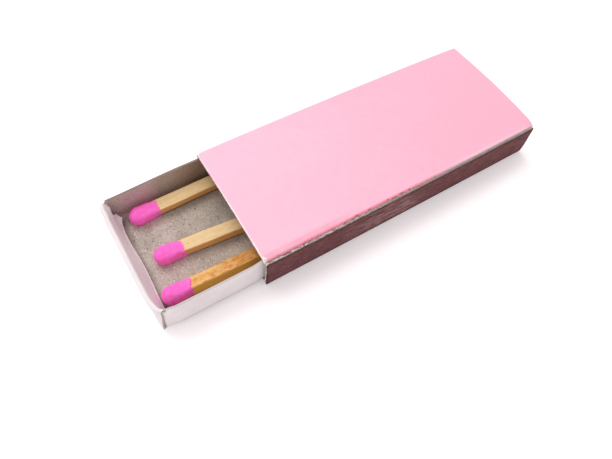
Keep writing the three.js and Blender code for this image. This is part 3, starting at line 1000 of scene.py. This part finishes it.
def buildFlap(name, levels, finishes):
    look = flapLook
    shape = look[name]
    end = trayEnds[name]
    place, sign = end["place"], end["sign"]
    low = boxOf(name + "_flap")[0]
    top = endColumns(levels, 1, 1)
    radius = trayLook["crease"]
    crest = trayHalf + radius + trayLook["lip"]
    start = crest + trayLook["lip"]
    lines = []
    for y in top:
        edgeIn = end["edge"](y) - trayHalf
        edgeUp = low.z + look["waver"] * ripple(2.7, y, 3 * sign, 1)
        curlIn, curlUp = edgeIn - look["curl"], edgeUp + look["curl"] * look["curlUp"]
        lean = math.atan((curlIn - start - radius) / (creaseUp - curlUp))
        hang = [
            (crest, creaseUp),
            (start + radius * math.tan((math.pi / 2 - lean) / 2), creaseUp, radius),
            (curlIn, curlUp, look["curl"]),
            (edgeIn, edgeUp),
        ]
        lines.append(foldLine(hang, look["cuts"], look["foldCuts"]))
    rows = []
    for k in range(len(lines[0])):
        down = (creaseUp - lines[0][k].y) / (creaseUp - low.z)
        gone = ease(0, look["gapRun"], down)
        tear = shape["tear"] * max(0, down - look["tearFrom"]) / (1 - look["tearFrom"])
        notch = shape["notch"] * plateau(*look["notchRun"], down)
        ragged = look["torn"] * ripple(0.7, down * 6, 2 * sign, 8) * gone
        near = top[0] + gone * shape["nearGap"]
        far = top[-1] - gone * shape["farGap"] - tear - notch + ragged * min(1, tear * 4 + notch)
        puff = shape["puff"] * plateau(*look["puffRun"], down)
        cornerUp = shape["cornerUp"] * ease(*look["cornerRun"], down)
        row = []
        for y, line in zip(top, lines):
            spread = between(near, far, (y - top[0]) / (top[-1] - top[0]))
            back = shape["heldBack"] * down * ease(*look["heldPart"], spread)
            back -= puff * ease(*look["puffPart"], spread)
            raised = cornerUp * ease(*look["cornerPart"], spread)
            row.append(bentTray(place(line[k].x - back), spread, line[k].y + raised))
        rows.append(row)
    bm = newSheet()
    joinAlong(bm, layRows(bm, rows, sign > 0)[0])
    piece = cardPiece(name + "_tuck_flap", bm, trayLook["card"], finishes)
    crease = place(trayHalf) * mm
    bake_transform(piece, "tray", name + "_flap", start=(crease, 0, creaseUp * mm),
             end=(crease, 0, (creaseUp - 0.5) * mm))
    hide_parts(name + "_flap")


# matches

matchLook = {
    "stick": 1.9,
    "chamfer": 0.1,
    "nose": 1.65,  # head beyond the end of the stick
    "sag": 0.05,  # a stick's middle hangs this much
    "dip": 0.25,  # and its head is sunk by this, so that the head is flat underneath
    "restGap": 0.01,
    "belly": 1.62,  # from the tip to the fattest place
    "swell": 0.5,
    "roundness": 2.2,  # of the nose
    "squareness": (2.1, 4.5, 6),  # of the head's section at its belly, its hem and where it meets the stick
    "hem": 0.15,
    "hemFrom": 0.55,
    "hemWander": 0.34,
    "hemTeeth": 0.16,
    "hemRoll": ((0.05, 0.75), (0.06, 0.3), (0.02, -0.25)),  # it rolls in to the stick
    "lumps": 0.06,
    "rings": 46,
    "ringCrowd": 1.7,  # they are closer together at the tip
    "points": 96,
    "sideCuts": 4,
    "cell": 0.6,
    "waver": 0.035,
    "waverSize": 3.5,
    # colours of the wood change along the stick, with painted shade towards the tail and along its foot, and
    # just past the head
    "tailShadeRun": (4, 14),
    "stickShadeRise": (-0.8, -1.06),
    "dyedRun": (0.6, 0.2),
    "grainSway": (0, 0.6, 0.6),
}
matches = {
    # skirt is the head's length along the stick, and bow the stick's bend to the side
    "far": {"wood": "straw", "seed": 3.1, "roll": 10, "bow": 0.15, "wide": 1.1, "shift": (0, 0.2, 0),
            "skirt": 3.03},
    "middle": {"wood": "straw", "seed": 7.7, "roll": 2, "bow": 0.0, "wide": 1.12, "shift": (0, 0.27, 0),
               "skirt": 2.93},
    "near": {"wood": "honey", "seed": 12.4, "roll": -9, "bow": 0.1, "wide": 1.08, "shift": (-0.2, 0.1, 0),
             "skirt": 2.8},
}
woodLook = {
    "straw": {
        "pale": tint(250, 226, 178),
        "deep": tint(236, 200, 143),
        "line": tint(190, 140, 88),
        "blotch": tint(228, 182, 120),
        "side": tint(233, 176, 104),
        "fleckShare": 0.12,
        "tailShadeShare": 0.24,
    },
    "honey": {
        "pale": tint(247, 205, 137),
        "deep": tint(232, 172, 95),
        "line": tint(170, 92, 30),
        "blotch": tint(204, 118, 32),
        "side": tint(255, 198, 94),
        "fleckShare": 0.5,
        "tailShadeShare": 0.52,
    },
}
headLook = {
    "bright": tint(255, 126, 218),
    "deep": tint(255, 103, 200),
    "pit": tint(228, 70, 156),
    "glowPink": tint(255, 60, 140),
    "glowStrength": 0.09,  # painted glow: the heads give off light of their own, for the brightness of a fluorescent dye
    "pits": (0.5, 0.05, 0.4, 0.6),
}


def stickWood(kind):
    look = woodLook[kind]
    material, place = newFinish(kind + " wood")
    x, _, z = parts(place)
    swirls = cloud(stretched(place, 0.12, 1, 1), 1.5, 2)
    bands = cloud(stretched(warped(place, swirls, *matchLook["grainSway"]), 0.03, 1, 1), 0.5, 3, 0.6)
    fibres = cloud(stretched(place, 0.05, 1, 1), 0.09, 3, 0.7)
    colour = paint(rise(bands, 0.2, 0.8), look["deep"], look["pale"])
    colour = paint(rise(fibres, 0.5, 0.8) * 0.5, colour, look["line"])
    dashes = flecks(stretched(place, 0.3, 1, 1), 0.3, 0.09, look["fleckShare"], 0.4)
    colour = paint(dashes * 0.4, colour, look["line"])
    resin = rise(cloud(stretched(place, 0.45, 1, 1), 0.6, 4, 0.75), 0.47, 0.6)
    # towards the tail, by and under the sleeve, the wood is painted darker and browner: painted shade, and
    # for the honey wood also its redder colour
    tailwardShade = rise(x, *matchLook["tailShadeRun"])
    colour = paint(resin * (0.25 + look["fleckShare"]) * (0.45 + tailwardShade * 0.55), colour, look["blotch"])
    colour = paint(tailwardShade * look["tailShadeShare"], colour, look["blotch"])
    mottle = cloud(stretched(place, 0.6, 1, 1), 0.45, 3, 0.7)
    colour = paint(rise(mottle, 0.53, 0.62) * look["fleckShare"], colour, look["blotch"])
    colour = paint(rise(mottle, 0.47, 0.38) * look["fleckShare"] * 0.6, colour, look["pale"])
    # the side faces are painted darker and redder: painted shade
    facing = place.add("SeparateXYZ", {}, {0: place.add("TexCoord", {}, {}, "Normal")}, 1)
    sideShade = rise(squared(facing), 0.3, 0.7)
    colour = paint(sideShade * 0.92, colour, look["side"])
    # painted shade along the stick's foot, by the floor
    soilAndShade = rise(z + fibres * 0.1, *matchLook["stickShadeRise"])
    colour = paint(soilAndShade * 0.85, colour, boardLook["contactShade"])
    # the dip stains the wood just past the head
    skirt = max(match["skirt"] for match in matches.values() if match["wood"] == kind)
    dyed = rise(x - skirt + fibres * 0.5, *matchLook["dyedRun"])
    colour = paint(dyed * 0.35, colour, headLook["deep"])
    return coat(material, colour, rough=0.62 + fibres * 0.2, gloss=0.3, bump=bands * 0.5 + fibres, depth=0.03)


def headDip():
    look = headLook
    material, place = newFinish("match head")
    lumps = cloud(place, 0.8, 3)
    grit = cloud(place, 0.14, 4, 0.75)
    colour = paint(rise(lumps * 0.6 + grit * 0.5, 0.35, 0.75), look["deep"], look["bright"])
    pits = flecks(place, *look["pits"])
    colour = paint(pits * 0.5, colour, look["pit"])
    bumps = grit * 0.6 + lumps * 0.6 - pits * 0.4
    # a painted glow: the heads give off light, though they are no lamp
    glow = (look["glowPink"], look["glowStrength"])
    return coat(material, colour, rough=0.85, gloss=0.25, bump=bumps, depth=0.05, glow=glow)


def lying(match, front, tail, x, y, z):
    # a point of a straight match, rolled and bent as it lies on the floor
    look = matchLook
    share = x / (tail - front).length
    roll = math.radians(match["roll"]) * ease(1, 0.5, share)
    arch = math.sin(math.pi * min(max(share, 0), 1))
    across = y * math.cos(roll) - z * math.sin(roll) + match["bow"] * arch
    up = y * math.sin(roll) + z * math.cos(roll) - look["sag"] * arch - look["dip"] * (1 - share)
    floorUp = floorMiddle + trayHalf + look["restGap"] - between(front.z, tail.z, share)
    return x, across, max(up, floorUp)


def closedLoft(bm, rings):
    laid = layRows(bm, rings, closed=True)
    for ring, flip in ((laid[0], True), (laid[-1], False)):
        hub = bm.verts.new(sum((spot.co for spot in ring), Vector()) / len(ring))
        for a, b in zip(ring, ring[1:] + ring[:1]):
            bm.faces.new((b, a, hub) if flip else (a, b, hub))


def squareRing(out, chamfer, cuts):  # a square section with small flats at its corners, anticlockwise
    flat = out - chamfer
    side = [(out, between(-flat, flat, i / cuts)) for i in range(cuts + 1)]
    ring = []
    for c, s in ((1, 0), (0, 1), (-1, 0), (0, -1)):
        ring += [(y * c - z * s, y * s + z * c) for y, z in side]
    return ring


def buildStick(name, match, front, tail, finish):
    look = matchLook
    seed = match["seed"]
    bm = bmesh.new()
    rings = []
    for x in steps(0, (tail - front).length, look["cell"]):
        chamfer = look["chamfer"] * (1 + 0.4 * ripple(look["waverSize"], x, seed, 5))
        ring = []
        for y, z in squareRing(look["stick"] / 2, chamfer, look["sideCuts"]):
            y += look["waver"] * ripple(look["waverSize"], x, y * 2.5, z * 2.5 + seed)
            z += look["waver"] * ripple(look["waverSize"], x + 40, y * 2.5, z * 2.5 + seed)
            ring.append(lying(match, front, tail, x, y * match["wide"], z))
        rings.append(ring)
    closedLoft(bm, rings)
    return settle(meshPiece(name + "_split_stick", bm, [finish]), sharp=30)


def buildHead(name, match, front, tail, finish):
    look = matchLook
    seed = match["seed"]
    size = look["nose"] + match["skirt"]
    bm = bmesh.new()
    rings = []

    def ringAt(along, radius, squareness, ragged):
        ring = []
        for i in range(look["points"]):
            angle = (i + 0.5) / look["points"] * 2 * math.pi
            c, s = math.cos(angle), math.sin(angle)
            reach = radius * (abs(c) ** squareness + abs(s) ** squareness) ** (-1 / squareness)
            hem = ripple(0.55, c * 0.9, s * 0.9, seed) + 0.5 * ripple(0.25, c, s, seed + 3)
            x = along + ragged * (look["hemWander"] * hem + look["hemTeeth"] * ripple(0.1, c, s, seed + 6))
            y, z = reach * c, reach * s
            lump = ripple(1.0, x, y + seed, z) + 0.3 * ripple(0.35, x, y, z + seed)
            swell = 1 + look["lumps"] * lump
            ring.append(lying(match, front, tail, x - look["nose"], y * swell, z * swell))
        return ring

    fat = look["stick"] / 2 + look["swell"]
    thin = look["stick"] / 2 + look["hem"]
    bellySquare, hemSquare, endSquare = look["squareness"]
    for k in range(1, look["rings"] + 1):
        along = size * (k / look["rings"]) ** look["ringCrowd"]
        nose = min(along / look["belly"], 1)
        skirt = ease(look["belly"], size, along)
        radius = between(fat * (1 - (1 - nose) ** look["roundness"]) ** 0.5, thin, skirt)
        ragged = ease(look["hemFrom"], 1, along / size)
        rings.append(ringAt(along, radius, between(bellySquare, hemSquare, skirt), ragged))
    for tuck, out in look["hemRoll"]:
        radius = look["stick"] / 2 + look["hem"] * out
        rings.append(ringAt(size + tuck, radius, endSquare, 1))
    closedLoft(bm, rings)
    return settle(meshPiece(name + "_dipped_head", bm, [finish]), sharp=60)


def endMiddles(node):  # middles of a stick's two end faces
    spots = [vert.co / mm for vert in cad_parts[node].data.vertices]
    middles = []
    for pick, sign in ((min, 1), (max, -1)):
        last = pick(spot.x for spot in spots)
        face = [spot for spot in spots if (spot.x - last) * sign < 1]
        low = Vector(map(min, *face))
        high = Vector(map(max, *face))
        middles.append((low + high) / 2)
    return middles


def buildMatches():
    woods = {kind: stickWood(kind) for kind in woodLook}
    dip = headDip()
    for name, match in matches.items():
        front, tail = endMiddles(name + "_match_stick")
        turn = Vector((1, 0, 0)).rotation_difference(tail - front).to_matrix().to_4x4()
        stand = Matrix.Translation((front + Vector(match["shift"])) * mm) @ turn
        stick = buildStick(name, match, front, tail, woods[match["wood"]])
        head = buildHead(name, match, front, tail, dip)
        for piece, slot, node in (
            (stick, match["wood"] + "_wood", "_match_stick"),
            (head, "match_head", "_match_head"),
        ):
            piece.matrix_world = stand
            carry(piece, name + "_match", slot, name + node)


# stage: a white table, soft light and the camera

stageLook = {
    "table": 1.2,  # metres
    "tableGap": 0.01,  # it lies this much under the box
    "tableWhite": (0.97, 0.925, 0.935, 1),
    "tableLift": 0.26,  # painted light, added for the camera alone, so that the bare table shows white and the box's shadow lightens away from it
    "liftRun": (-20, 7),  # the lift comes in over these distances from the box
    "liftFront": 5,  # and so much sooner in front of the tray, painting out the shadow there
    "skyFront": (0.66, 0.635, 0.645, 1),
    "skyBack": (0.96, 0.92, 0.93, 1),
    "skyRun": (-0.9, 0.9),
    "keyFrom": (-0.06, 0.35, 0.6),
    "keySize": 0.42,
    "keyWatts": 1.75,
}
cameraLook = {
    "sensor": 36,
    "lens": 28.318,
    "clip": (0.001, 20),  # metres
    "place": (-41.709, -37.069, 69.391),
    "azimuth": -38.623,
    "elevation": 60.232,
    "roll": 8.004,
}


def seenByEye(wire):  # 1 for what the camera sees, straight or by a mirror or glass
    path = wire.add("LightPath")
    seen = path + path.other("Is Glossy Ray") + path.other("Is Transmission Ray")
    return seen.add("Clamp", {}, {"Value": seen})


def buildTable():
    look = stageLook
    bm = bmesh.new()
    bmesh.ops.create_grid(bm, x_segments=8, y_segments=8, size=look["table"])
    material, place = newFinish("white table")
    x, y, _ = parts(place)
    middle = (cadBox[0] + cadBox[1]) / 2 / mm
    reach = (cadBox[1] - cadBox[0]) / 2 / mm
    shift = look["liftFront"] / 2
    asideX = x.maths("ABSOLUTE", x - (middle.x + shift), 0) - (reach.x - shift)
    asideY = x.maths("ABSOLUTE", y - middle.y, 0) - reach.y
    # the lift is painted light for the camera alone, lightening the table's shadow more the further it is
    # from the box
    away = rise(x.maths("MAXIMUM", asideX, asideY), *look["liftRun"])
    glow = paint(seenByEye(place) * away, (0, 0, 0, 1), (1, 1, 1, 1))
    coat(material, look["tableWhite"], rough=0.9, gloss=0.1, glow=(glow, look["tableLift"]))
    table = meshPiece("table", bm, [material])
    table.location.z = (sleeveLow.z - look["tableGap"]) * mm


def buildSky():
    look = stageLook
    world = bpy.data.worlds.new("white room")
    world.use_nodes = True
    scene.world = world
    tree = world.node_tree
    toward = Wire(tree).add("TexCoord", {}, {}, "Generated")
    back = rise(toward.add("SeparateXYZ", {}, {0: toward}, 1), *look["skyRun"])
    shade = paint(back, look["skyFront"], look["skyBack"])
    shade = paint(seenByEye(toward), shade, (1, 1, 1, 1))
    tree.links.new(shade.socket, tree.nodes["Background"].inputs["Color"])


def buildKey():
    look = stageLook
    lamp = bpy.data.lights.new("window", "AREA")
    lamp.shape = "DISK"
    lamp.size = look["keySize"]
    lamp.energy = look["keyWatts"]
    window = bpy.data.objects.new("window", lamp)
    window.location = look["keyFrom"]
    window.rotation_euler = Vector(look["keyFrom"]).to_track_quat("Z", "Y").to_euler()
    scene.collection.objects.link(window)


def buildCamera():
    look = cameraLook
    data = bpy.data.cameras.new("camera")
    data.sensor_width = look["sensor"]
    data.sensor_fit = "HORIZONTAL"
    data.lens = look["lens"]
    data.clip_start, data.clip_end = look["clip"]
    camera = bpy.data.objects.new("camera", data)
    a, e, r = (math.radians(look[name]) for name in ("azimuth", "elevation", "roll"))
    back = Vector((math.sin(a) * math.cos(e), -math.cos(a) * math.cos(e), math.sin(e)))
    right = Vector((math.cos(a), math.sin(a), 0))
    up = back.cross(right)
    right, up = right * math.cos(r) + up * math.sin(r), up * math.cos(r) - right * math.sin(r)
    camera.matrix_world = Matrix((right, up, back)).transposed().to_4x4()
    camera.location = Vector(look["place"]) * mm
    scene.collection.objects.link(camera)
    scene.camera = camera


buildSleeve()
buildStrikers()
buildGlue()
print("sleeve built")
trayInside = greyBoard("tray inside", True)
trayEdge = cutEdge("tray cut edge", True)
floorLevels = buildTray([whiteBoard("tray outside"), trayInside, trayEdge])
# the flap's coat is a darker copy of the tray's white side: painted shade
flapCoat = whiteBoard("flap coat", boxOf("front_flap")[0].z, 0.25)
for endName in trayEnds:
    buildFlap(endName, floorLevels, [flapCoat, trayInside, trayEdge])
print("tray built")
buildMatches()
print("matches built")
buildTable()
buildSky()
buildKey()
buildCamera()
print("stage built")
